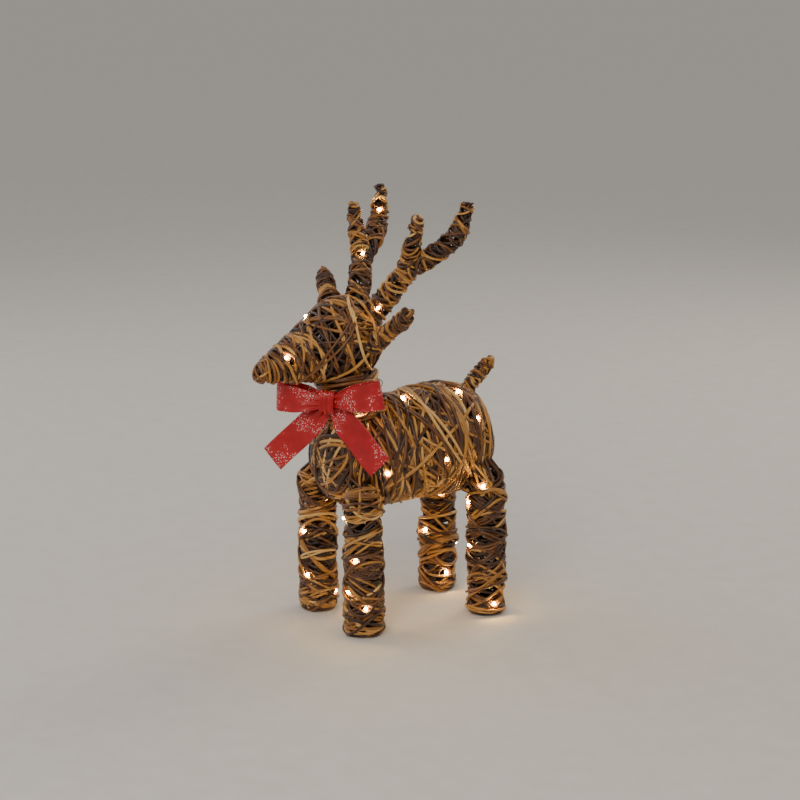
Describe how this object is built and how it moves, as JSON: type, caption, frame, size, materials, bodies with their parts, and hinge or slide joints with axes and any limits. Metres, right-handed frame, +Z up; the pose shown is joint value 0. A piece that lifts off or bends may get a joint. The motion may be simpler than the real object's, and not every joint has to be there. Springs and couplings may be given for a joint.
{
  "type": "light up yard reindeer",
  "caption": "Standing wicker reindeer over a welded wire frame, with antlers, ears, a short tail, a ribbon bow at the throat and warm white lamps woven in.",
  "frame": {"origin": "The middle of the footprint on the ground, under the middle of the object's box.", "axes": "+Z is up. The reindeer faces -Y, so its left side is +X and its tail is at +Y."},
  "size_m": [0.2554, 0.3799, 0.5905],
  "materials": {
    "vine": "oiled willow vine, satin",
    "frame_wire": "brown powder-coated steel wire",
    "tie_wire": "annealed soft wire",
    "lead_sheath": "brown PVC sheath",
    "lamp_holder": "moulded brown holder",
    "lamp_lens": "clear epoxy dome, warm white",
    "ribbon": "red satin ribbon with white frost specks",
    "case_plastic": "fine spark texture",
    "screw_steel": "zinc-plated steel",
    "rubber": "soft moulded",
    "cell_jacket": "printed shrink sleeve without words",
    "contact": "nickel plate",
    "board": "solder mask over glass epoxy",
    "switch": "moulded nylon",
    "button": "moulded",
    "hanger": "brown powder-coated strip"
  },
  "bodies": {
    "reindeer": {"body_wicker": "vine", "neck_wicker": "vine", "head_wicker": "vine", "tail_wicker": "vine", "left_ear_wicker": "vine", "right_ear_wicker": "vine", "left_antler_wicker": "vine", "right_antler_wicker": "vine", "front_left_leg_wicker": "vine", "front_right_leg_wicker": "vine", "rear_left_leg_wicker": "vine", "rear_right_leg_wicker": "vine", "body_frame": "frame_wire", "neck_frame": "frame_wire", "head_frame": "frame_wire", "tail_frame": "frame_wire", "left_ear_frame": "frame_wire", "right_ear_frame": "frame_wire", "left_antler_frame": "frame_wire", "right_antler_frame": "frame_wire", "front_left_leg_frame": "frame_wire", "front_right_leg_frame": "frame_wire", "rear_left_leg_frame": "frame_wire", "rear_right_leg_frame": "frame_wire", "binding_wires": "tie_wire", "body_lamp_lead": "lead_sheath", "head_lamp_lead": "lead_sheath", "antler_lamp_leads": "lead_sheath", "front_leg_lamp_leads": "lead_sheath", "rear_leg_lamp_leads": "lead_sheath", "body_lamp_holders": "lamp_holder", "head_lamp_holders": "lamp_holder", "antler_lamp_holders": "lamp_holder", "front_leg_lamp_holders": "lamp_holder", "rear_leg_lamp_holders": "lamp_holder", "body_lamp_lenses": "lamp_lens", "head_lamp_lenses": "lamp_lens", "antler_lamp_lenses": "lamp_lens", "front_leg_lamp_lenses": "lamp_lens", "rear_leg_lamp_lenses": "lamp_lens", "battery_case": "case_plastic", "cover_hinge_pin": "screw_steel", "cover_gasket": "rubber", "battery_cells": "cell_jacket", "contact_springs": "contact", "contact_plates": "contact", "timer_board": "board", "timer_switch": "switch", "case_hanger": "hanger", "hanger_screws": "screw_steel", "lead_grommet": "rubber", "bow_knot": "ribbon", "bow_left_loop": "ribbon", "bow_right_loop": "ribbon", "bow_left_tail": "ribbon", "bow_right_tail": "ribbon", "bow_tie_wire": "tie_wire"},
    "battery_cover": {"battery_cover": "case_plastic", "cover_screw": "screw_steel"},
    "timer_button": {"timer_button": "button"}
  },
  "joints": [
    {"name": "battery_cover_hinge", "type": "hinge", "parent": "reindeer", "child": "battery_cover", "pos_m": [0, -0.0034, 0.1664], "axis": [-1, 0, 0], "range_deg": [0, 100]},
    {"name": "timer_button_press", "type": "slide", "parent": "reindeer", "child": "timer_button", "axis": [0, 0, 1], "range_m": [0, 0.001], "stiffness_N_per_m": 300}
  ]
}
